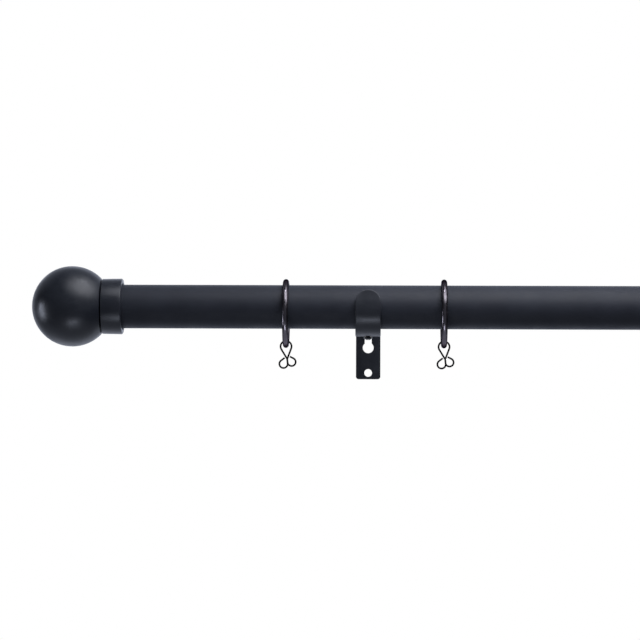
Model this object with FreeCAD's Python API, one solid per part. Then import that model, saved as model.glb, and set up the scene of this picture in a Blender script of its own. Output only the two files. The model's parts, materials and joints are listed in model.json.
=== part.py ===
"""Telescopic curtain rod with two wall brackets, ball finials and four eyed rings.

Millimetres.  +X runs along the rod towards its thin end, +Y points into the wall and +Z is up.
The origin lies on the wall, midway across the left bracket, level with the rod's centre line.
"""
import FreeCAD, Part
import math
import os

from FreeCAD import Vector

# --- rod ---------------------------------------------------------------------------------------
ROD_TO_WALL = 60.0            # wall to the rod's centre line
OUTER_TUBE_D = 28.0
OUTER_TUBE_WALL = 0.8
TUBE_PLAY = 0.7               # inner tube's radial play in the outer one, taken up by nylon
INNER_TUBE_WALL = 0.8
OUTER_TUBE_SHOWN = 449.4      # left collar's mouth to the outer tube's open end
INNER_TUBE_SHOWN = 259.4      # outer tube's open end to the right collar's mouth
TUBE_OVERLAP = 190.0          # inner tube held inside the outer one
PUSH_GAP = 0.05               # radial gap between pieces that stay put in each other
SLIDE_GAP = 0.08              # radial gap between pieces that slide in each other

BUSH_DEPTH = 12.0             # nylon bush pushed into the outer tube's open end
BUSH_LIP = 1.2
GUIDE_SPIGOT = 12.0           # nylon guide pushed into the inner tube's hidden end
GUIDE_HEAD = 8.0
GUIDE_WALL = 3.6

# --- finials -----------------------------------------------------------------------------------
COLLAR_LENGTH = 13.0
COLLAR_TUBE_GAP = 0.8         # radial gap between collar and thick tube
COLLAR_WALL = 3.05            # at the mouth
COLLAR_DRAFT = 0.2            # radius lost from the mouth to the ball
COLLAR_WEB = 3.0
COLLAR_CHAMFER = 0.5
COLLAR_SEAM_CHAMFER = 0.3
TUBE_IN_COLLAR = 8.6
BALL_D = 51.6
BALL_SEAM = 0.6               # shadow gap between ball and collar
NECK_STEP = 5.4               # neck's radius, short of the collar's
STUD_D = 6.0
STUD_IN_BALL = 18.0
STUD_CHAMFER = 0.6
STUD_WEB_GAP = 0.2
PLUG_LENGTH = 22.0
PLUG_FLANGE = 1.2
PLUG_FLANGE_STEP = 0.3        # flange radius, short of the tube's outside
PLUG_RIB = 3.0
PLUG_RIBS = 3
PLUG_CORE_STEP = 0.9          # core radius, short of the ribs
SLEEVE_PROUD = 1.5            # reducing sleeve, past the right collar's mouth
SLEEVE_COLLAR_GAP = 0.5

# --- brackets ----------------------------------------------------------------------------------
BRACKET_INSET = 157.4         # collar's mouth to the bracket's middle
STRIP_WIDTH = 16.2
STRIP_THICK = 2.0
STRIP_EDGE_R = 0.5
BEND_R = 3.0                  # bends of the strip, at mid thickness
CUP_TUBE_GAP = 2.0            # thick tube to the cup that it lies in
CUP_DROP = 0.9                # cup's centre below the rod's
REAR_RISE = 5.6               # straight rear wall of the cup
TONGUE_R = 25.0               # inward curve of the front tongue, at mid thickness
TONGUE_LEAN = 13.5            # degrees that the tongue leans over the rod
TONGUE_TOP = 11.3             # tip above the rod's centre line
PLATE_BOTTOM = 47.8           # plate's lower end below the rod's centre line
PLATE_CORNER_R = 1.8
LOWER_HOLE_D = 5.14
LOWER_HOLE_RISE = 4.2         # above the plate's lower end
HOLE_SPACING = 16.7           # lower hole to the keyhole's entry
KEYHOLE_SLOT_W = 4.6
KEYHOLE_SLOT_RISE = 9.4       # entry to the seat
KEYHOLE_ENTRY_D = 7.2

# --- lock screws -------------------------------------------------------------------------------
SCREW_D = 3.0
SCREW_THREAD_GAP = 0.06
SCREW_TIP_GAP = 0.15
SCREW_HEAD_D = 5.4
SCREW_HEAD_H = 2.2
SCREW_HEAD_RIM = 0.7          # straight rim before the dome
SCREW_SEAT_GAP = 0.1
SCREW_SLOT_W = 0.7
SCREW_SLOT_L = 3.0
SCREW_SLOT_DEPTH = 1.0

# --- rings and eyes ----------------------------------------------------------------------------
RING_PLAY = 4.3               # radius to spare round the thick tube
RING_WIRE_D = 3.8
RING_GAP = 0.1                # ring's wire above the tube it hangs on
RING_OUTSIDE = 52.6           # bracket's middle to the ring on its finial side
RING_INSIDE = 48.6            # bracket's middle to the ring on its other side
EYE_WIRE_D = 1.15
EYE_GAP = 0.12                # eye's wire above the ring's wire
EYE_PLAY = 1.05               # radius to spare in the loop round the ring's wire
EYE_TAPER = 26.0              # degrees from upright of the loop's converging sides
EYE_BEND_R = 1.4
EYE_STEM_GAP = 0.1            # between the two stems, one behind the other
EYE_RETURN = 32.0             # degrees above level of each small loop's straight end
EYE_END_BITE = 0.15           # that end, into the top loop's side that it is tacked to
EYE_SWAY = 5.5                # degrees that the eye hangs off plumb
EYE_LEFT = {"loop_r": 2.65, "stem": 2.6}
EYE_RIGHT = {"loop_r": 2.6, "stem": 1.9}

# --- places that follow from the sizes above ---------------------------------------------------
ROD_Y = -ROD_TO_WALL
OUTER_TUBE_R = OUTER_TUBE_D / 2
OUTER_TUBE_BORE_R = OUTER_TUBE_R - OUTER_TUBE_WALL
INNER_TUBE_R = OUTER_TUBE_BORE_R - TUBE_PLAY
INNER_TUBE_BORE_R = INNER_TUBE_R - INNER_TUBE_WALL
COLLAR_BORE_R = OUTER_TUBE_R + COLLAR_TUBE_GAP
COLLAR_MOUTH_R = COLLAR_BORE_R + COLLAR_WALL
COLLAR_BALL_R = COLLAR_MOUTH_R - COLLAR_DRAFT
BALL_FLAT = math.sqrt((BALL_D / 2) ** 2 - COLLAR_BALL_R ** 2)
CUP_R = OUTER_TUBE_R + CUP_TUBE_GAP + STRIP_THICK / 2
LOWER_HOLE_DROP = PLATE_BOTTOM - LOWER_HOLE_RISE
KEYHOLE_ENTRY_DROP = LOWER_HOLE_DROP - HOLE_SPACING
KEYHOLE_SEAT_DROP = KEYHOLE_ENTRY_DROP - KEYHOLE_SLOT_RISE
RING_R = OUTER_TUBE_R + RING_PLAY + RING_WIRE_D / 2
EYE_TOP_R = RING_WIRE_D / 2 + EYE_PLAY + EYE_WIRE_D / 2
LEFT_MOUTH_X = -BRACKET_INSET
OUTER_TUBE_END_X = LEFT_MOUTH_X + OUTER_TUBE_SHOWN
RIGHT_MOUTH_X = OUTER_TUBE_END_X + INNER_TUBE_SHOWN
LEFT_BRACKET_X = 0.0
RIGHT_BRACKET_X = RIGHT_MOUTH_X - BRACKET_INSET
RIGHT_BRACKET_RISE = OUTER_TUBE_R - INNER_TUBE_R
TIP_ROUND_R = STRIP_WIDTH / 2

ALONG_ROD = Vector(1, 0, 0)
TO_WALL = Vector(0, 1, 0)
UP = Vector(0, 0, 1)


def export(shape, node):
    """Write one piece to parts/ under its node's name."""
    shape.exportStep("parts/" + node + ".step")


def polygon_face(points):
    """A flat face with straight sides through the given corners."""
    return Part.Face(Part.makePolygon(points + [points[0]]))


def turned(profile, start, direction):
    """Revolve (distance, radius) corners about an axis from start along direction."""
    corners = [Vector(radius, 0, along) for along, radius in profile]
    solid = polygon_face(corners).revolve(Vector(0, 0, 0), UP, 360)
    solid.rotate(Vector(0, 0, 0), UP.cross(direction), 90)
    solid.translate(start)
    return solid


def on_rod(x):
    """The point of the rod's centre line at x."""
    return Vector(x, ROD_Y, 0)


def rod_tube(x_from, x_to, radius, wall):
    """A thin tube on the rod's centre line."""
    length = x_to - x_from
    outside = Part.makeCylinder(radius, length, on_rod(x_from), ALONG_ROD)
    bore = Part.makeCylinder(radius - wall, length, on_rod(x_from), ALONG_ROD)
    return outside.cut(bore)


# --- rod ---------------------------------------------------------------------------------------
def outer_tube():
    return rod_tube(LEFT_MOUTH_X - TUBE_IN_COLLAR, OUTER_TUBE_END_X, OUTER_TUBE_R, OUTER_TUBE_WALL)


def inner_tube():
    hidden_end = OUTER_TUBE_END_X - TUBE_OVERLAP
    return rod_tube(hidden_end, RIGHT_MOUTH_X + TUBE_IN_COLLAR, INNER_TUBE_R, INNER_TUBE_WALL)


def outer_tube_bush():
    """Nylon bush in the outer tube's open end, whose lip covers the cut edge."""
    bore_r = INNER_TUBE_R + SLIDE_GAP
    body_r = OUTER_TUBE_BORE_R - PUSH_GAP
    profile = [
        (-BUSH_DEPTH, bore_r),
        (-BUSH_DEPTH, body_r),
        (0, body_r),
        (0, OUTER_TUBE_R),
        (BUSH_LIP / 2, OUTER_TUBE_R),
        (BUSH_LIP, OUTER_TUBE_R - BUSH_LIP / 2),
        (BUSH_LIP, bore_r),
    ]
    return turned(profile, on_rod(OUTER_TUBE_END_X), ALONG_ROD)


def inner_tube_guide():
    """Nylon guide that centres the inner tube's hidden end in the outer tube."""
    spigot_r = INNER_TUBE_BORE_R - PUSH_GAP
    head_r = OUTER_TUBE_BORE_R - SLIDE_GAP
    bore_r = spigot_r - GUIDE_WALL
    profile = [
        (-GUIDE_HEAD, bore_r),
        (-GUIDE_HEAD, head_r),
        (0, head_r),
        (0, spigot_r),
        (GUIDE_SPIGOT, spigot_r),
        (GUIDE_SPIGOT, bore_r),
    ]
    return turned(profile, on_rod(OUTER_TUBE_END_X - TUBE_OVERLAP), ALONG_ROD)


# --- finials: distances run outwards from the collar's mouth -----------------------------------
def finial_collar(mouth_x, outwards):
    stud_hole_r = STUD_D / 2 + STUD_WEB_GAP
    profile = [
        (0, COLLAR_BORE_R + COLLAR_CHAMFER),
        (0, COLLAR_MOUTH_R - COLLAR_CHAMFER),
        (COLLAR_CHAMFER, COLLAR_MOUTH_R),
        (COLLAR_LENGTH - COLLAR_SEAM_CHAMFER, COLLAR_BALL_R),
        (COLLAR_LENGTH, COLLAR_BALL_R - COLLAR_SEAM_CHAMFER),
        (COLLAR_LENGTH, stud_hole_r),
        (COLLAR_LENGTH - COLLAR_WEB, stud_hole_r),
        (COLLAR_LENGTH - COLLAR_WEB, COLLAR_BORE_R),
        (COLLAR_CHAMFER, COLLAR_BORE_R),
    ]
    return turned(profile, on_rod(mouth_x), outwards)


def finial_ball(mouth_x, outwards):
    """Ball with a flat towards the collar, a low neck and a hole for the stud."""
    seat = on_rod(mouth_x) + outwards * COLLAR_LENGTH
    flat = seat + outwards * BALL_SEAM
    centre = flat + outwards * BALL_FLAT
    neck_r = COLLAR_BALL_R - NECK_STEP
    ball = Part.makeSphere(BALL_D / 2, centre)
    beyond_flat = Part.makeCylinder(BALL_D, 2 * BALL_D, flat, outwards)
    ball = ball.common(beyond_flat)
    neck = Part.makeCylinder(neck_r, BALL_SEAM + neck_r, seat, outwards)
    stud_hole = Part.makeCylinder(STUD_D / 2, STUD_IN_BALL + STUD_CHAMFER, seat, outwards)
    return ball.fuse(neck).removeSplitter().cut(stud_hole)


def finial_plug(mouth_x, outwards, tube_r, tube_bore_r):
    """Ribbed nylon plug that pushes into the tube's end and takes the stud."""
    rib_r = tube_bore_r - SLIDE_GAP
    core_r = rib_r - PLUG_CORE_STEP
    bore_r = STUD_D / 2
    pitch = PLUG_LENGTH / PLUG_RIBS
    inner_end = TUBE_IN_COLLAR - PLUG_LENGTH
    profile = [
        (TUBE_IN_COLLAR + PLUG_FLANGE, bore_r),
        (inner_end, bore_r),
    ]
    for rib in range(PLUG_RIBS):
        foot = inner_end + rib * pitch
        profile += [(foot, core_r), (foot + PLUG_CORE_STEP, rib_r), (foot + PLUG_RIB, rib_r)]
        profile += [(foot + PLUG_RIB, core_r)]
    profile += [
        (TUBE_IN_COLLAR, core_r),
        (TUBE_IN_COLLAR, tube_r - PLUG_FLANGE_STEP),
        (TUBE_IN_COLLAR + PLUG_FLANGE, tube_r - PLUG_FLANGE_STEP),
    ]
    return turned(profile, on_rod(mouth_x), outwards)


def finial_stud(mouth_x, outwards):
    """Threaded stud, drawn at its full diameter, from the plug into the ball."""
    radius = STUD_D / 2 - PUSH_GAP
    inner_end = TUBE_IN_COLLAR - PLUG_LENGTH
    outer_end = COLLAR_LENGTH + STUD_IN_BALL
    profile = [
        (inner_end, 0),
        (inner_end, radius - STUD_CHAMFER),
        (inner_end + STUD_CHAMFER, radius),
        (outer_end - STUD_CHAMFER, radius),
        (outer_end, radius - STUD_CHAMFER),
        (outer_end, 0),
    ]
    return turned(profile, on_rod(mouth_x), outwards)


def reducing_sleeve():
    """Nylon sleeve that packs the inner tube out to the right collar's bore."""
    bore_r = INNER_TUBE_R + PUSH_GAP
    outer_r = COLLAR_BORE_R - SLEEVE_COLLAR_GAP
    profile = [
        (-SLEEVE_PROUD, bore_r),
        (-SLEEVE_PROUD, outer_r - SLEEVE_PROUD / 2),
        (-SLEEVE_PROUD / 2, outer_r),
        (TUBE_IN_COLLAR, outer_r),
        (TUBE_IN_COLLAR, bore_r),
    ]
    return turned(profile, on_rod(RIGHT_MOUTH_X), ALONG_ROD)


# --- brackets ----------------------------------------------------------------------------------
def bent_strip_face(start, heading, moves):
    """Side view of a bent strip in the YZ plane.

    start is (y, z) at mid thickness and heading is in degrees from +Y towards +Z.  A move is
    ("run", length) or ("bend", radius, degrees), where a positive bend turns from +Y to +Z.
    """
    half = STRIP_THICK / 2
    near_edges = []
    far_edges = []
    place = Vector(0, start[0], start[1])
    for move in moves:
        ahead = Vector(0, math.cos(math.radians(heading)), math.sin(math.radians(heading)))
        left = Vector(0, -ahead.z, ahead.y)
        if move[0] == "run":
            end = place + ahead * move[1]
            near_edges.append(Part.LineSegment(place + left * half, end + left * half).toShape())
            far_edges.append(Part.LineSegment(place - left * half, end - left * half).toShape())
        else:
            radius, turn = move[1], move[2]
            side = 1 if turn > 0 else -1
            centre = place + left * (side * radius)
            spokes = []
            for share in (0, 0.5, 1):
                spoke = (place - centre) * (1 / radius)
                spokes.append(FreeCAD.Rotation(ALONG_ROD, turn * share).multVec(spoke))
            near_r = radius - side * half
            far_r = radius + side * half
            near_edges.append(Part.Arc(*[centre + spoke * near_r for spoke in spokes]).toShape())
            far_edges.append(Part.Arc(*[centre + spoke * far_r for spoke in spokes]).toShape())
            end = centre + spokes[2] * radius
            heading += turn
        place = end
    near_end = near_edges[-1].Vertexes[-1].Point
    far_end = far_edges[-1].Vertexes[-1].Point
    near_start = near_edges[0].Vertexes[0].Point
    far_start = far_edges[0].Vertexes[0].Point
    caps = [Part.makeLine(near_end, far_end), Part.makeLine(near_start, far_start)]
    return Part.Face(Part.Wire(Part.__sortEdges__(near_edges + far_edges + caps)))


def strip_tip_trim():
    """Everything the strip may fill: its front tongue ends in a half circle."""
    behind = Part.makeBox(STRIP_WIDTH, ROD_TO_WALL, 4 * ROD_TO_WALL,
                          Vector(-STRIP_WIDTH / 2, ROD_Y, -2 * ROD_TO_WALL))
    tip_centre_z = TONGUE_TOP - TIP_ROUND_R
    below = Part.makeBox(STRIP_WIDTH, ROD_TO_WALL, 2 * ROD_TO_WALL,
                         Vector(-STRIP_WIDTH / 2, ROD_Y - ROD_TO_WALL, tip_centre_z - 2 * ROD_TO_WALL))
    round_top = Part.makeCylinder(TIP_ROUND_R, ROD_TO_WALL,
                                  Vector(0, ROD_Y - ROD_TO_WALL, tip_centre_z), TO_WALL)
    return behind.fuse([below, round_top]).removeSplitter()


def bracket_strip():
    """One flat strip bent into wall plate, arm, cup and front tongue."""
    half = STRIP_THICK / 2
    arm_z = -CUP_DROP + REAR_RISE + BEND_R
    cup_rear_y = ROD_Y + CUP_R
    moves = [
        ("run", PLATE_BOTTOM + arm_z - BEND_R),
        ("bend", BEND_R, 90),
        ("run", -half - BEND_R - (cup_rear_y + BEND_R)),
        ("bend", BEND_R, 90),
        ("run", REAR_RISE),
        ("bend", CUP_R, -180),
        ("bend", TONGUE_R, -TONGUE_LEAN),
        ("run", TONGUE_TOP),
    ]
    side_view = bent_strip_face((-half, -PLATE_BOTTOM), 90, moves)
    side_view.translate(Vector(-STRIP_WIDTH / 2, 0, 0))
    strip = side_view.extrude(Vector(STRIP_WIDTH, 0, 0))
    return strip.common(strip_tip_trim())


def plate_corner_edges(strip):
    """The two short edges across the plate's thickness at its lower end."""
    picked = []
    for edge in strip.Edges:
        ends = [vertex.Point for vertex in edge.Vertexes]
        low = all(abs(point.z + PLATE_BOTTOM) < 0.01 for point in ends)
        across = len(ends) == 2 and abs(ends[0].y - ends[1].y) > STRIP_THICK / 2
        if low and across:
            picked.append(edge)
    return picked


def rim_edges(strip):
    """The edges that run round both broad faces, without bend lines and edges across the thickness."""
    picked = []
    for edge in strip.Edges:
        straight = edge.Curve.TypeId == "Part::GeomLine"
        across_width = straight and abs(edge.tangentAt(edge.FirstParameter).x) > 0.999
        plate_end = abs(edge.CenterOfMass.z + PLATE_BOTTOM) < 0.01
        across_thickness = straight and edge.Length < 1.5 * STRIP_THICK
        if across_thickness or (across_width and not plate_end):
            continue
        picked.append(edge)
    return picked


def keyhole():
    """Keyhole through the plate: round entry below, narrow slot up to the seat."""
    slot_r = KEYHOLE_SLOT_W / 2
    behind = 2 * STRIP_THICK
    depth = 4 * STRIP_THICK
    entry = Part.makeCylinder(KEYHOLE_ENTRY_D / 2, depth, Vector(0, -behind, -KEYHOLE_ENTRY_DROP), TO_WALL)
    seat = Part.makeCylinder(slot_r, depth, Vector(0, -behind, -KEYHOLE_SEAT_DROP), TO_WALL)
    slot = Part.makeBox(KEYHOLE_SLOT_W, depth, KEYHOLE_ENTRY_DROP - KEYHOLE_SEAT_DROP,
                        Vector(-slot_r, -behind, -KEYHOLE_ENTRY_DROP))
    return entry.fuse([seat, slot])


def bracket(x, rise):
    """A bracket at x, lifted by rise so that a thinner tube lies level."""
    strip = bracket_strip()
    strip = strip.makeFillet(PLATE_CORNER_R, plate_corner_edges(strip))
    strip = strip.makeFillet(STRIP_EDGE_R, rim_edges(strip))
    lower_hole = Part.makeCylinder(LOWER_HOLE_D / 2, 4 * STRIP_THICK,
                                   Vector(0, -2 * STRIP_THICK, -LOWER_HOLE_DROP), TO_WALL)
    thread_r = SCREW_D / 2 + SCREW_THREAD_GAP
    screw_hole = Part.makeCylinder(thread_r, 2 * STRIP_THICK + CUP_R, Vector(0, ROD_Y, -2 * CUP_R), UP)
    strip = strip.cut(keyhole()).cut(lower_hole).cut(screw_hole)
    strip.translate(Vector(x, 0, rise))
    return strip


# --- lock screws -------------------------------------------------------------------------------
def lock_screw(x, rise):
    """Pan-head screw up through the cup; its tip stops just short of the tube."""
    seat_z = -CUP_DROP - CUP_R - STRIP_THICK / 2 - SCREW_SEAT_GAP
    tip_z = -OUTER_TUBE_R - SCREW_TIP_GAP
    head_r = SCREW_HEAD_D / 2
    shank_r = SCREW_D / 2
    dome_h = SCREW_HEAD_H - SCREW_HEAD_RIM
    dome_r = (head_r ** 2 + dome_h ** 2) / (2 * dome_h)
    head_bottom = seat_z - SCREW_HEAD_H
    rim = Part.makeCylinder(head_r, SCREW_HEAD_H, Vector(0, 0, head_bottom))
    dome = Part.makeSphere(dome_r, Vector(0, 0, head_bottom + dome_r))
    head = rim.common(dome)
    shank = Part.makeCylinder(shank_r, tip_z - seat_z, Vector(0, 0, seat_z))
    screw = head.fuse(shank).removeSplitter()
    for turn in (0, 90):
        slot = Part.makeBox(SCREW_SLOT_L, SCREW_SLOT_W, SCREW_SLOT_DEPTH,
                            Vector(-SCREW_SLOT_L / 2, -SCREW_SLOT_W / 2, head_bottom))
        slot.rotate(Vector(0, 0, 0), UP, turn)
        screw = screw.cut(slot)
    screw.translate(Vector(x, ROD_Y, rise))
    return screw


# --- rings and eyes ----------------------------------------------------------------------------
def ring_centre(x, tube_r):
    """Centre of a ring that hangs on a tube of the given radius."""
    return Vector(x, ROD_Y, tube_r + RING_GAP + RING_WIRE_D / 2 - RING_R)


def ring(x, tube_r):
    return Part.makeTorus(RING_R, RING_WIRE_D / 2, ring_centre(x, tube_r), ALONG_ROD)


def arc_about(centre, radius, from_deg, to_deg):
    """Arc in the XZ plane, angles from +X towards +Z."""
    points = []
    for degrees in (from_deg, (from_deg + to_deg) / 2, to_deg):
        angle = math.radians(degrees)
        points.append(centre + Vector(radius * math.cos(angle), 0, radius * math.sin(angle)))
    return Part.Arc(*points).toShape()


def eye_half(loop_r, stem):
    """Right half of an eye's wire, about the centre of its top loop.

    Round the top loop, down the converging side and the stem, then outwards round a small
    loop whose straight end comes back to the converging side.
    """
    taper = math.radians(EYE_TAPER)
    taper_line = Vector(math.sin(taper), 0, math.cos(taper))
    leave = Vector(EYE_TOP_R * math.cos(taper), 0, -EYE_TOP_R * math.sin(taper))
    meet = Vector(0, 0, leave.z - leave.x / math.tan(taper))
    setback = EYE_BEND_R * math.tan(taper / 2)
    bend_from = meet + taper_line * setback
    bend_to = meet - UP * setback
    bend_centre = Vector(EYE_BEND_R, 0, bend_to.z)
    stem_foot = bend_to - UP * stem
    loop_centre = stem_foot + ALONG_ROD * loop_r

    back = math.radians(EYE_RETURN)
    loop_end = loop_centre + Vector(math.sin(back), 0, math.cos(back)) * loop_r
    off_taper = (loop_end - meet).dot(Vector(math.cos(taper), 0, -math.sin(taper)))
    return_length = (off_taper - EYE_WIRE_D + EYE_END_BITE) / math.cos(back - taper)
    return_line = Vector(-math.cos(back), 0, math.sin(back))
    path = [
        arc_about(Vector(0, 0, 0), EYE_TOP_R, 90, -EYE_TAPER),
        Part.makeLine(leave, bend_from),
        arc_about(bend_centre, EYE_BEND_R, 180 - EYE_TAPER, 180),
        Part.makeLine(bend_to, stem_foot),
        arc_about(loop_centre, loop_r, 180, 450 - EYE_RETURN),
    ]
    section = Part.makeCircle(EYE_WIRE_D / 2, Vector(0, 0, EYE_TOP_R), ALONG_ROD)
    bent = Part.Wire(path).makePipeShell([Part.Wire(section)], True, False)
    straight_end = Part.makeCylinder(EYE_WIRE_D / 2, return_length, loop_end, return_line)
    half = bent.fuse(straight_end)
    splay = math.atan2((EYE_WIRE_D + EYE_STEM_GAP) / 2, EYE_TOP_R - bend_from.z)
    half.rotate(Vector(0, 0, EYE_TOP_R), ALONG_ROD, math.degrees(splay))
    return half


def ring_eye(x, tube_r):
    """Bent wire eye: a top loop round the ring and a small loop either side of its stem."""
    right = eye_half(**EYE_RIGHT)
    left = eye_half(**EYE_LEFT)
    left.rotate(Vector(0, 0, 0), UP, 180)
    eye = right.fuse(left).removeSplitter()
    ring_wire = ring_centre(x, tube_r) - UP * RING_R
    top_loop_drop = EYE_TOP_R - RING_WIRE_D / 2 - EYE_GAP - EYE_WIRE_D / 2
    eye.translate(ring_wire - UP * top_loop_drop)
    eye.rotate(ring_wire, TO_WALL, -EYE_SWAY)
    return eye


def build():
    os.makedirs("parts", exist_ok=True)
    export(outer_tube(), "outer_tube")
    export(inner_tube(), "inner_tube")
    export(outer_tube_bush(), "outer_tube_bush")
    export(inner_tube_guide(), "inner_tube_guide")
    export(reducing_sleeve(), "reducing_sleeve")

    ends = [
        ("left", LEFT_MOUTH_X, -ALONG_ROD, OUTER_TUBE_R, OUTER_TUBE_BORE_R),
        ("right", RIGHT_MOUTH_X, ALONG_ROD, INNER_TUBE_R, INNER_TUBE_BORE_R),
    ]
    for side, mouth_x, outwards, tube_r, tube_bore_r in ends:
        export(finial_collar(mouth_x, outwards), side + "_finial_collar")
        export(finial_ball(mouth_x, outwards), side + "_finial_ball")
        export(finial_plug(mouth_x, outwards, tube_r, tube_bore_r), side + "_finial_plug")
        export(finial_stud(mouth_x, outwards), side + "_finial_stud")

    for side, x, rise in [("left", LEFT_BRACKET_X, 0), ("right", RIGHT_BRACKET_X, RIGHT_BRACKET_RISE)]:
        export(bracket(x, rise), side + "_bracket")
        export(lock_screw(x, rise), side + "_lock_screw")

    rings = [
        (LEFT_BRACKET_X - RING_OUTSIDE, OUTER_TUBE_R),
        (LEFT_BRACKET_X + RING_INSIDE, OUTER_TUBE_R),
        (RIGHT_BRACKET_X - RING_INSIDE, INNER_TUBE_R),
        (RIGHT_BRACKET_X + RING_OUTSIDE, INNER_TUBE_R),
    ]
    for number, (x, tube_r) in enumerate(rings, start=1):
        export(ring(x, tube_r), "ring_" + str(number))
        export(ring_eye(x, tube_r), "ring_eye_" + str(number))


build()
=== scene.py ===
"""The finished look of the curtain rod with brackets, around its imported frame.

Metres. +X runs along the rod to its thin end, +Y into the wall, +Z up.
"""

import json
import math

import bmesh
import bpy
from mathutils import Matrix, Vector

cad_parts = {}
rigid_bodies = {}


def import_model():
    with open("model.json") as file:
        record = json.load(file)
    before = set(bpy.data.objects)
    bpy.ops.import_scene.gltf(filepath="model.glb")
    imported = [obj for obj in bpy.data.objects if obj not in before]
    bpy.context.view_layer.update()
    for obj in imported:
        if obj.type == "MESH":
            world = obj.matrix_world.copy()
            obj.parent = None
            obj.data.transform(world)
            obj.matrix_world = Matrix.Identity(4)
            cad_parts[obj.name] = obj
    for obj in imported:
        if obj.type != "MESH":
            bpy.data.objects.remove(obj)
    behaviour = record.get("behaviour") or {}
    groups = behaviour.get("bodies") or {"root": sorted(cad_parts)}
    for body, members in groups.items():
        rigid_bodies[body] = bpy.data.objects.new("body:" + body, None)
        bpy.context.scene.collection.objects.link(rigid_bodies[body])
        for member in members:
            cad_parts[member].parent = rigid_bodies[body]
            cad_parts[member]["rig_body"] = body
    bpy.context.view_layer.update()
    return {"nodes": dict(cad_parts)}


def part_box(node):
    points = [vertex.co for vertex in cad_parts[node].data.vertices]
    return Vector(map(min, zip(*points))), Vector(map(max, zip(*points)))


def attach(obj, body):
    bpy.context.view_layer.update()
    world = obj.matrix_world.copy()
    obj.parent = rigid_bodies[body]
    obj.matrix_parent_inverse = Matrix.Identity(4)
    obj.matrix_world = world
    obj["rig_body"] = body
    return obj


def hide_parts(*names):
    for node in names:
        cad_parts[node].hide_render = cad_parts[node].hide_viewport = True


for leftover in list(bpy.data.objects):
    bpy.data.objects.remove(leftover)
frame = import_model()
slot_of = {name: made.material_slots[0].material.name for name, made in frame["nodes"].items()}
for plain in list(bpy.data.materials):
    bpy.data.materials.remove(plain)


# ---------------------------------------------------------------- materials

def node(tree, kind, inputs=None, **settings):
    """One node, with its settings and its inputs joined or set."""
    made = tree.nodes.new(kind)
    for key, value in settings.items():
        setattr(made, key, value)
    for key, value in (inputs or {}).items():
        if isinstance(value, bpy.types.NodeSocket):
            tree.links.new(value, made.inputs[key])
        else:
            made.inputs[key].default_value = value
    return made


def finish_start(name):
    """A new material: itself, its tree, its surface shader and the place it is read at."""
    made = bpy.data.materials.new(name)
    made.use_nodes = True
    tree = made.node_tree
    place = node(tree, "ShaderNodeTexCoord").outputs["Object"]
    return made, tree, tree.nodes["Principled BSDF"], place


def stretched(tree, place, scale):
    """The place, stretched by scale along each axis."""
    return node(tree, "ShaderNodeMapping", {"Vector": place, "Scale": scale}).outputs["Vector"]


def mottle(tree, place, size, detail=3.0, rough=0.55):
    """A cloudy pattern whose blotches are about size metres across."""
    return node(tree, "ShaderNodeTexNoise", {
        "Vector": place, "Scale": 1.0 / size, "Detail": detail, "Roughness": rough,
    }).outputs["Fac"]


def remap(tree, value, low, high, start=0.35, end=0.65):
    """The value between start and end, spread over low to high."""
    return node(tree, "ShaderNodeMapRange", {
        "Value": value, "From Min": start, "From Max": end, "To Min": low, "To Max": high,
    }, interpolation_type="SMOOTHSTEP").outputs["Result"]


def blend_colour(tree, amount, first, second):
    """First colour to second by amount."""
    mix = node(tree, "ShaderNodeMix", data_type="RGBA")
    for socket, value in ((mix.inputs[0], amount), (mix.inputs[6], first), (mix.inputs[7], second)):
        if isinstance(value, bpy.types.NodeSocket):
            tree.links.new(value, socket)
        else:
            socket.default_value = value
    return mix.outputs[2]


EDGE_TURN = (0.75, 0.985)     # cosine between the eased and the true direction: edge, open face


def edges(tree, radius):
    """1 along sharp edges, 0 on open faces."""
    eased = node(tree, "ShaderNodeBevel", {"Radius": radius}, samples=4).outputs["Normal"]
    facing = node(tree, "ShaderNodeNewGeometry").outputs["Normal"]
    turn = node(tree, "ShaderNodeVectorMath", {0: eased, 1: facing}, operation="DOT_PRODUCT")
    return remap(tree, turn.outputs["Value"], 1.0, 0.0, *EDGE_TURN)


def product(tree, first, second):
    """First times second."""
    return node(tree, "ShaderNodeMath", {0: first, 1: second}, operation="MULTIPLY").outputs[0]


def total(tree, first, second):
    """First plus second."""
    return node(tree, "ShaderNodeMath", {0: first, 1: second}, operation="ADD").outputs[0]


def relief(tree, height, depth, strength, below=None):
    """A bump of that depth in metres, on top of another one."""
    made = node(tree, "ShaderNodeBump", {"Height": height, "Distance": depth, "Strength": strength})
    if below is not None:
        tree.links.new(below, made.inputs["Normal"])
    return made.outputs["Normal"]


PAINT_CLOUD = 0.018           # sizes across of the paint's patterns, in metres
PAINT_PATCH = 0.009
PAINT_PEEL = 0.0035
EDGE_PATCH = 0.004
EDGE_REACH = 0.0006           # how far from an edge its paint is thin and painted paler, partly as a highlight
PEEL_DEPTH = 0.00004
PATCH_ROUGH = 0.05            # patches are duller or glossier by this
EDGE_POLISH = -0.12           # what handling takes off the roughness of edges
# pale edge colour: partly worn thin paint, partly a painted highlight where rounded edges catch the
# light
EDGE_WEAR_AND_HIGHLIGHT = (0.11, 0.115, 0.125, 1.0)
SHEEN_TINT = (0.86, 0.92, 1.0, 1.0)
SHEEN_ROUGH = 0.4


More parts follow.
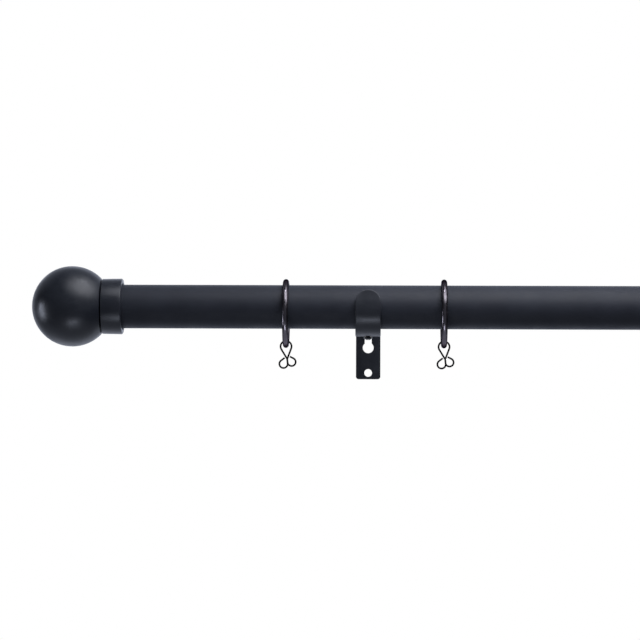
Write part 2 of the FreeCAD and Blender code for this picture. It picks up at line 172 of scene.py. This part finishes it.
def satin_paint(name, base, pale, rough, grain, depth, specular=0.5, sheen=0.0):
    """Baked satin paint over steel: fine powder grain, soft cloudiness, and paler edges that are partly
    thin worn paint and partly a painted highlight.
    """
    made, tree, shader, place = finish_start(name)
    cloud = mottle(tree, place, PAINT_CLOUD, detail=4.0)
    fleck = mottle(tree, place, grain, detail=2.0, rough=0.6)
    colour = blend_colour(tree, remap(tree, cloud, 0.0, 1.0), base, pale)
    # edges painted paler: partly thin worn paint, partly a painted highlight along the rounded edges
    edge_wear_and_highlight = product(tree, edges(tree, EDGE_REACH),
                   remap(tree, mottle(tree, place, EDGE_PATCH), 0.5, 1.0))
    colour = blend_colour(tree, product(tree, edge_wear_and_highlight, remap(tree, cloud, 0.35, 0.6)), colour,
                          EDGE_WEAR_AND_HIGHLIGHT)
    tree.links.new(colour, shader.inputs["Base Color"])
    soft = remap(tree, mottle(tree, place, PAINT_PATCH, detail=5.0),
                 rough - PATCH_ROUGH, rough + PATCH_ROUGH, 0.3, 0.7)
    soft = total(tree, soft, product(tree, edge_wear_and_highlight, EDGE_POLISH))
    tree.links.new(soft, shader.inputs["Roughness"])
    peel = relief(tree, mottle(tree, place, PAINT_PEEL, detail=2.0), PEEL_DEPTH, strength=0.45)
    tree.links.new(relief(tree, fleck, depth, strength=0.5, below=peel), shader.inputs["Normal"])
    shader.inputs["Specular IOR Level"].default_value = specular
    shader.inputs["Sheen Weight"].default_value = sheen
    shader.inputs["Sheen Roughness"].default_value = SHEEN_ROUGH
    shader.inputs["Sheen Tint"].default_value = SHEEN_TINT
    return made


HAZE_SHINIER = 0.03           # the haze changes the wire's roughness by up to these
HAZE_DULLER = 0.06
WIRE_CLOUD = 0.006
WIRE_HAZE = 0.0022
WIRE_PIT = 0.0005
PIT_DEPTH = 0.000004


def dark_nickel(name, colour, tint, rough, rim):
    """Plated wire: smoky, with a soft haze, tiny pits and dull rims."""
    made, tree, shader, place = finish_start(name)
    cloud = mottle(tree, place, WIRE_CLOUD, detail=4.0)
    tree.links.new(blend_colour(tree, remap(tree, cloud, 0.0, 1.0), colour, tint),
                   shader.inputs["Base Color"])
    shader.inputs["Metallic"].default_value = 1.0
    shader.inputs["Specular Tint"].default_value = rim
    haze = remap(tree, mottle(tree, place, WIRE_HAZE, detail=4.0),
                 rough - HAZE_SHINIER, rough + HAZE_DULLER, 0.3, 0.7)
    tree.links.new(haze, shader.inputs["Roughness"])
    pits = mottle(tree, place, WIRE_PIT, detail=2.0)
    tree.links.new(relief(tree, pits, PIT_DEPTH, strength=0.3), shader.inputs["Normal"])
    return made


NYLON_BLACK = (0.012, 0.012, 0.014, 1.0)
NYLON_WORN = (0.022, 0.022, 0.024, 1.0)
NYLON_ROUGH = (0.46, 0.60)
NYLON_CLOUD = 0.007
NYLON_PATCH = 0.003
NYLON_SPARK = 0.00035
SPARK_DEPTH = 0.00001


def moulded_nylon(name):
    """Black moulded nylon: fine spark texture and a soft, uneven sheen."""
    made, tree, shader, place = finish_start(name)
    cloud = mottle(tree, place, NYLON_CLOUD, detail=4.0)
    tree.links.new(blend_colour(tree, remap(tree, cloud, 0.0, 1.0), NYLON_BLACK, NYLON_WORN),
                   shader.inputs["Base Color"])
    tree.links.new(remap(tree, mottle(tree, place, NYLON_PATCH, detail=4.0), *NYLON_ROUGH),
                   shader.inputs["Roughness"])
    tree.links.new(relief(tree, mottle(tree, place, NYLON_SPARK, detail=2.0), SPARK_DEPTH, strength=0.5),
                   shader.inputs["Normal"])
    return made


ZINC_BLUISH = (0.42, 0.43, 0.46, 1.0)
ZINC_BRIGHT = (0.62, 0.62, 0.62, 1.0)
ZINC_ROUGH = (0.28, 0.45)
ZINC_CLOUD = 0.0015
TURNING_LINE = 0.0003
TURNING_DEPTH = 0.00001
ROUND_THE_ROD = (1.0, 0.05, 0.05)    # stretches a pattern into rings about the rod


def zinc_plate(name):
    """Zinc-plated steel: bright, slightly bluish and cloudy, with turning lines round it."""
    made, tree, shader, place = finish_start(name)
    cloud = mottle(tree, place, ZINC_CLOUD, detail=5.0)
    tree.links.new(blend_colour(tree, remap(tree, cloud, 0.0, 1.0), ZINC_BLUISH, ZINC_BRIGHT),
                   shader.inputs["Base Color"])
    shader.inputs["Metallic"].default_value = 1.0
    tree.links.new(remap(tree, cloud, *ZINC_ROUGH), shader.inputs["Roughness"])
    turning = mottle(tree, stretched(tree, place, ROUND_THE_ROD), TURNING_LINE, detail=2.0)
    tree.links.new(relief(tree, turning, TURNING_DEPTH, strength=0.4), shader.inputs["Normal"])
    return made


finishes = {
    "rod_paint": satin_paint(
        "rod_paint", (0.0100, 0.0115, 0.0172, 1.0), (0.0130, 0.0150, 0.0215, 1.0),
        rough=0.60, grain=0.0011, depth=0.00003, specular=0.31, sheen=0.26),
    "collar_paint": satin_paint(
        "collar_paint", (0.0115, 0.0130, 0.0175, 1.0), (0.0155, 0.0170, 0.0220, 1.0),
        rough=0.34, grain=0.0009, depth=0.000015),
    "ball_lacquer": satin_paint(
        "ball_lacquer", (0.0085, 0.0100, 0.0140, 1.0), (0.0115, 0.0135, 0.0180, 1.0),
        rough=0.35, grain=0.0010, depth=0.00001),
    "bracket_paint": satin_paint(
        "bracket_paint", (0.0135, 0.0150, 0.0190, 1.0), (0.0180, 0.0195, 0.0240, 1.0),
        rough=0.35, grain=0.0008, depth=0.00001),
    "screw_black": satin_paint(
        "screw_black", (0.0100, 0.0105, 0.0130, 1.0), (0.0160, 0.0165, 0.0190, 1.0),
        rough=0.30, grain=0.0006, depth=0.00001),
    "ring_nickel": dark_nickel(
        "ring_nickel", (0.190, 0.170, 0.184, 1.0), (0.235, 0.212, 0.226, 1.0),
        rough=0.18, rim=(0.05, 0.04, 0.05, 1.0)),
    "eye_wire": dark_nickel(
        "eye_wire", (0.018, 0.017, 0.020, 1.0), (0.030, 0.028, 0.033, 1.0),
        rough=0.26, rim=(0.05, 0.05, 0.05, 1.0)),
    "black_nylon": moulded_nylon("black_nylon"),
    "zinc_steel": zinc_plate("zinc_steel"),
}
for name, made in frame["nodes"].items():
    for held in made.material_slots:
        held.material = finishes[slot_of[name]]


# ---------------------------------------------------------------- making pieces

MERGE = 1e-6
ROUND_STEPS = 144
EASED_ABOVE = 25.0            # degrees an edge must turn to be rounded off
CREASE_ABOVE = 40.0           # degrees an edge must turn to be shaded sharp
ALONG = Vector((1.0, 0.0, 0.0))
UP = Vector((0.0, 0.0, 1.0))


def middle(name):
    """The middle of a CAD node's box."""
    low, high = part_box(name)
    return (low + high) / 2


ROD = Vector((0.0, middle("outer_tube").y, middle("outer_tube").z))


def everything(shape):
    """All the shape's corners, edges and faces."""
    return shape.verts[:] + shape.edges[:] + shape.faces[:]


def edges_among(parts):
    """The edges in a list of corners, edges and faces."""
    return [part for part in parts if isinstance(part, bmesh.types.BMEdge)]


def closed_up(shape):
    """Merge what meets and turn every face outwards."""
    bmesh.ops.remove_doubles(shape, verts=shape.verts, dist=MERGE)
    bmesh.ops.recalc_face_normals(shape, faces=shape.faces)


def ease_edges(shape, ease):
    """Round the shape's sharp edges by ease metres."""
    sharp = [edge for edge in shape.edges
             if edge.is_manifold and edge.calc_face_angle() > math.radians(EASED_ABOVE)]
    bmesh.ops.bevel(shape, geom=sharp, offset=ease, segments=3, profile=0.5,
                    affect="EDGES", material=-1, clamp_overlap=True)


def finished(shape, name, cad_name, crease_above=CREASE_ABOVE):
    """Turn the shape into a piece that stands for its CAD node and rides where it did."""
    closed_up(shape)
    mesh = bpy.data.meshes.new(name)
    shape.to_mesh(mesh)
    shape.free()
    mesh.shade_smooth()
    mesh.set_sharp_from_angle(angle=math.radians(crease_above))
    mesh.materials.append(finishes[slot_of[cad_name]])
    made = bpy.data.objects.new(name, mesh)
    bpy.context.scene.collection.objects.link(made)
    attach(made, frame["nodes"][cad_name]["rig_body"])
    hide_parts(cad_name)


def turned(outline, ease):
    """Spin a closed outline of (along, radius) corners about the rod's centre line."""
    shape = bmesh.new()
    corners = [shape.verts.new(ROD + Vector((along, 0.0, radius))) for along, radius in outline]
    sides = [shape.edges.new(pair) for pair in zip(corners, corners[1:] + corners[:1])]
    bmesh.ops.spin(shape, geom=corners + sides, cent=ROD, axis=ALONG, steps=ROUND_STEPS,
                   angle=math.tau, use_merge=True, use_duplicate=False)
    closed_up(shape)
    ease_edges(shape, ease)
    return shape


# ---------------------------------------------------------------- rod

THICK_TUBE_R = 0.0140
THIN_TUBE_R = 0.0125
TUBE_WALL = 0.0008
DEBUR = 0.0002


def tube(name, cad_name, radius):
    """A drawn steel tube whose cut ends are deburred."""
    low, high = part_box(cad_name)
    bore = radius - TUBE_WALL
    outline = [(low.x, bore), (low.x, radius), (high.x, radius), (high.x, bore)]
    finished(turned(outline, DEBUR), name, cad_name)


tube("thick_tube", "outer_tube", THICK_TUBE_R)
tube("thin_tube", "inner_tube", THIN_TUBE_R)


# ---------------------------------------------------------------- finials

COLLAR_BORE = 0.0148
COLLAR_WEB = 0.003
COLLAR_DRAFT = 0.0002
MOUTH_CHAMFER = 0.0005
SEAM_CHAMFER = 0.0003
COLLAR_EASE = 0.00018
STUD_HOLE = 0.0032
SEAM_GAP = 0.0006
NECK_STEP = 0.0054
NECK_EASE = 0.0003
BALL_FACETS = (128, 96)


def collar(name, cad_name, outwards):
    """The cap's collar: drafted wall, broken mouth edge and a web at the ball's end."""
    low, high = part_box(cad_name)
    mouth, far = (high.x, low.x) if outwards < 0 else (low.x, high.x)
    widest = (high.z - low.z) / 2
    narrow = widest - COLLAR_DRAFT
    web = far - outwards * COLLAR_WEB
    outline = [
        (mouth, COLLAR_BORE + MOUTH_CHAMFER),
        (mouth, widest - MOUTH_CHAMFER),
        (mouth + outwards * MOUTH_CHAMFER, widest),
        (far - outwards * SEAM_CHAMFER, narrow),
        (far, narrow - SEAM_CHAMFER),
        (far, STUD_HOLE),
        (web, STUD_HOLE),
        (web, COLLAR_BORE),
        (mouth + outwards * MOUTH_CHAMFER, COLLAR_BORE),
    ]
    finished(turned(outline, COLLAR_EASE), name, cad_name)


def ball(name, cad_name, collar_name, outwards):
    """A round ball with a flat and a low neck towards its collar."""
    low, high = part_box(cad_name)
    radius = (high.z - low.z) / 2
    centre = ROD + Vector(((low.x + radius) if outwards < 0 else (high.x - radius), 0.0, 0.0))
    collar_low, collar_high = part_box(collar_name)
    seat = collar_low.x if outwards < 0 else collar_high.x
    flat = Vector((seat + outwards * SEAM_GAP, ROD.y, ROD.z))
    shape = bmesh.new()
    bmesh.ops.create_uvsphere(shape, u_segments=BALL_FACETS[0], v_segments=BALL_FACETS[1],
                              radius=radius)
    bmesh.ops.rotate(shape, verts=shape.verts, cent=(0, 0, 0),
                     matrix=Matrix.Rotation(math.pi / 2, 3, "Y"))
    bmesh.ops.translate(shape, verts=shape.verts, vec=centre)
    cut = bmesh.ops.bisect_plane(shape, geom=everything(shape), plane_co=flat,
                                 plane_no=ALONG * -outwards, clear_outer=True)
    rim = edges_among(cut["geom_cut"])
    face = bmesh.ops.contextual_create(shape, geom=rim)["faces"][0]
    bmesh.ops.inset_region(shape, faces=[face], thickness=NECK_STEP, use_even_offset=True)
    neck = bmesh.ops.extrude_face_region(shape, geom=[face])
    moved = [part for part in neck["geom"] if isinstance(part, bmesh.types.BMVert)]
    bmesh.ops.translate(shape, verts=moved, vec=ALONG * -outwards * SEAM_GAP)
    bmesh.ops.delete(shape, geom=[face], context="FACES_ONLY")
    closed_up(shape)
    ease_edges(shape, NECK_EASE)
    finished(shape, name, cad_name)


for side, outwards in (("left", -1.0), ("right", 1.0)):
    collar(side + "_cap_collar", side + "_finial_collar", outwards)
    ball(side + "_cap_ball", side + "_finial_ball", side + "_finial_collar", outwards)


# ---------------------------------------------------------------- rings

RING_STEPS = 160
WIRE_STEPS = 28


def hanging_ring(name, cad_name):
    """A round wire ring standing square to the rod."""
    low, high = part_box(cad_name)
    wire = (high.x - low.x) / 2
    centre = middle(cad_name)
    shape = bmesh.new()
    section = bmesh.ops.create_circle(shape, radius=wire, segments=WIRE_STEPS)["verts"]
    bmesh.ops.rotate(shape, verts=section, cent=(0, 0, 0),
                     matrix=Matrix.Rotation(math.pi / 2, 3, "X"))
    bmesh.ops.translate(shape, verts=section,
                        vec=centre + Vector((0.0, 0.0, (high.z - low.z) / 2 - wire)))
    bmesh.ops.spin(shape, geom=shape.verts[:] + shape.edges[:], cent=centre, axis=ALONG,
                   steps=RING_STEPS, angle=math.tau, use_merge=True, use_duplicate=False)
    finished(shape, name, cad_name)


for number in range(1, 5):
    hanging_ring(f"wire_ring_{number}", f"ring_{number}")


# ---------------------------------------------------------------- lock screws

SCREW_HEAD = 0.0022
SHANK_STUB = 0.0001           # plain shank left on the head
THREAD_START = 0.0002         # above the head
THREAD_CREST = 0.0015
THREAD_ROOT = 0.00122
RIDGE_FOOT = 0.00005          # the ridge's foot, sunk into the core
RIDGE_SHARES = (0.0, 0.36, 0.48, 0.84)    # its foot, crest, crest and foot along one pitch
CORE_STEPS = 48
THREAD_PITCH = 0.0005
THREAD_TURNS = 8
STEPS_A_TURN = 24
SCREW_CREASE_ABOVE = 30.0     # degrees


def machine_screw(name, cad_name):
    """The pan head with its cross slot, on a shank cut with a thread."""
    low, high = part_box(cad_name)
    centre = Vector(((low.x + high.x) / 2, (low.y + high.y) / 2, 0.0))
    seat = low.z + SCREW_HEAD
    shape = bmesh.new()
    shape.from_mesh(frame["nodes"][cad_name].data)
    bmesh.ops.remove_doubles(shape, verts=shape.verts, dist=MERGE)
    cut = bmesh.ops.bisect_plane(shape, geom=everything(shape), plane_co=UP * (seat + SHANK_STUB),
                                 plane_no=UP, clear_outer=True)
    bmesh.ops.contextual_create(shape, geom=edges_among(cut["geom_cut"]))
    bmesh.ops.create_cone(shape, cap_ends=True, segments=CORE_STEPS, radius1=THREAD_ROOT,
                          radius2=THREAD_ROOT, depth=high.z - seat,
                          matrix=Matrix.Translation(centre + UP * (seat + high.z) / 2))
    foot = THREAD_ROOT - RIDGE_FOOT
    start = seat + THREAD_START
    section = [shape.verts.new(centre + Vector((radius, 0.0, start + share * THREAD_PITCH)))
               for radius, share in zip((foot, THREAD_CREST, THREAD_CREST, foot), RIDGE_SHARES)]
    sides = [shape.edges.new(pair) for pair in zip(section, section[1:] + section[:1])]
    wound = bmesh.ops.spin(shape, geom=section + sides, cent=centre, axis=UP,
                           dvec=UP * (THREAD_PITCH / STEPS_A_TURN),
                           steps=STEPS_A_TURN * THREAD_TURNS, angle=math.tau * THREAD_TURNS,
                           use_merge=False, use_duplicate=False)
    bmesh.ops.contextual_create(shape, geom=sides)
    bmesh.ops.contextual_create(shape, geom=edges_among(wound["geom_last"]))
    finished(shape, name, cad_name, SCREW_CREASE_ABOVE)


for side in ("left", "right"):
    machine_screw(side + "_machine_screw", side + "_lock_screw")


# ---------------------------------------------------------------- studio

def pane(name, centre, aim, size, watts, tint):
    """A soft rectangular light facing aim, not seen by the camera itself."""
    data = bpy.data.lights.new(name, "AREA")
    data.shape = "RECTANGLE"
    data.size, data.size_y = size
    data.energy = watts
    data.color = tint
    made = bpy.data.objects.new(name, data)
    made.location = centre
    made.rotation_euler = (Vector(aim) - Vector(centre)).to_track_quat("-Z", "Y").to_euler()
    made.visible_camera = False
    bpy.context.scene.collection.objects.link(made)


WHITE = (1.0, 1.0, 1.0, 1.0)
STUDIO_TINT = (0.93, 1.0, 1.2)
OVERHEAD_TINT = (0.97, 1.0, 1.1)
FRONT_LEVEL = 0.10
BACK_LEVEL = 0.32
FAR_BACK_MORE = 0.70          # added straight behind the object
BELOW_MORE = 0.26             # added straight below it
ABOVE_SHARE = 0.45            # of the level, straight up
ENDS_SHARE = 0.12             # of the level, past the rod's ends


def studio_world():
    """White to the camera. What lights the object is dim in front of it and brighter behind."""
    world = bpy.data.worlds.new("studio")
    world.use_nodes = True
    tree = world.node_tree
    tree.nodes.clear()
    facing = node(tree, "ShaderNodeSeparateXYZ",
                  {0: node(tree, "ShaderNodeTexCoord").outputs["Generated"]})
    side, depth, height = facing.outputs
    behind = remap(tree, depth, FRONT_LEVEL, BACK_LEVEL, -0.1, 0.6)
    far_back = remap(tree, depth, 0.0, FAR_BACK_MORE, 0.65, 1.0)
    below = remap(tree, height, BELOW_MORE, 0.0, -0.95, -0.45)
    level = total(tree, total(tree, behind, far_back), below)
    level = product(tree, level, remap(tree, height, 1.0, ABOVE_SHARE, 0.55, 0.95))
    sideways = node(tree, "ShaderNodeMath", {0: side}, operation="ABSOLUTE").outputs[0]
    level = product(tree, level, remap(tree, sideways, 1.0, ENDS_SHARE, 0.70, 0.92))
    soft = node(tree, "ShaderNodeBackground", {"Color": STUDIO_TINT + (1.0,), "Strength": level})
    white = node(tree, "ShaderNodeBackground", {"Color": WHITE, "Strength": 1.0})
    seen = node(tree, "ShaderNodeLightPath").outputs["Is Camera Ray"]
    pick = node(tree, "ShaderNodeMixShader", {0: seen, 1: soft.outputs[0], 2: white.outputs[0]})
    node(tree, "ShaderNodeOutputWorld", {"Surface": pick.outputs[0]})
    bpy.context.scene.world = world


FLOOR_COLOUR = (0.86, 0.85, 0.80, 1.0)
FLOOR_R = 2.9
FLOOR_MIDDLE = Vector((0.2, 0.0, -0.6))
FLOOR_MELTS = (0.30, 1.6)     # from and to, away from the floor's middle
FLOOR_SHARES = (0.35, 1.0)    # of plain white at those places


def studio_floor():
    """A plain pale floor below the rod that melts into white away from its middle."""
    shape = bmesh.new()
    bmesh.ops.create_circle(shape, cap_ends=True, radius=FLOOR_R, segments=96)
    mesh = bpy.data.meshes.new("floor")
    bmesh.ops.translate(shape, verts=shape.verts, vec=FLOOR_MIDDLE)
    shape.to_mesh(mesh)
    shape.free()
    floor = bpy.data.objects.new("floor", mesh)
    bpy.context.scene.collection.objects.link(floor)
    made, tree, shader, place = finish_start("floor")
    shader.inputs["Base Color"].default_value = FLOOR_COLOUR
    shader.inputs["Roughness"].default_value = 0.85
    shader.inputs["Specular IOR Level"].default_value = 0.1
    centred = node(tree, "ShaderNodeMapping", {"Vector": place, "Location": -FLOOR_MIDDLE})
    away = node(tree, "ShaderNodeVectorMath", {0: centred.outputs[0]}, operation="LENGTH")
    glow = node(tree, "ShaderNodeEmission", {"Color": WHITE, "Strength": 1.0})
    fade = remap(tree, away.outputs["Value"], *FLOOR_SHARES, *FLOOR_MELTS)
    pick = node(tree, "ShaderNodeMixShader", {0: fade, 1: shader.outputs[0], 2: glow.outputs[0]})
    tree.links.new(pick.outputs[0], tree.nodes["Material Output"].inputs["Surface"])
    mesh.materials.append(made)
    floor.visible_diffuse = False
    floor.visible_glossy = False


LENS = 147.5
CAMERA_PLACE = Vector((0.004, -1.740, 0.0))
CAMERA_AIM = Vector((-0.0308, -0.060, -0.0083))
CAMERA_ROLL = 0.17            # degrees


def camera():
    """A long lens, level with the rod and nearly square on to the wall."""
    data = bpy.data.cameras.new("camera")
    data.lens = LENS
    data.sensor_width = 36.0
    data.clip_end = 50.0
    made = bpy.data.objects.new("camera", data)
    aimed = (CAMERA_AIM - CAMERA_PLACE).to_track_quat("-Z", "Y").to_matrix().to_4x4()
    roll = Matrix.Rotation(math.radians(CAMERA_ROLL), 4, "Z")
    made.matrix_world = Matrix.Translation(CAMERA_PLACE) @ aimed @ roll
    bpy.context.scene.collection.objects.link(made)
    bpy.context.scene.camera = made


studio_world()
studio_floor()
pane("overhead", (0.30, -0.38, 0.60), (0.30, -0.38, 0.0), (1.20, 0.44), 2.9, OVERHEAD_TINT)
pane("overhead_key", (0.28, -0.43, 0.60), (0.28, -0.43, 0.0), (0.50, 0.34), 7.0, OVERHEAD_TINT)
pane("ring_key", (0.05, -0.20, 0.60), (0.05, -0.20, 0.0), (0.22, 0.14), 1.3, OVERHEAD_TINT)
pane("top_strip", (0.72, -0.02, 0.60), (0.72, -0.02, 0.0), (1.40, 0.22), 1.4, OVERHEAD_TINT)
pane("left_panel", (-0.97, -0.03, -0.12), (-0.19, -0.06, 0.0), (0.22, 0.36), 1.50, STUDIO_TINT)
pane("low_front", (-0.10, -0.57, -0.56), (-0.10, -0.06, 0.0), (0.40, 0.18), 0.68, STUDIO_TINT)
pane("low_back", (0.00, 0.45, -0.56), (0.00, -0.06, 0.0), (1.20, 0.30), 0.45, STUDIO_TINT)
camera()
bpy.context.scene.view_settings.view_transform = "Standard"
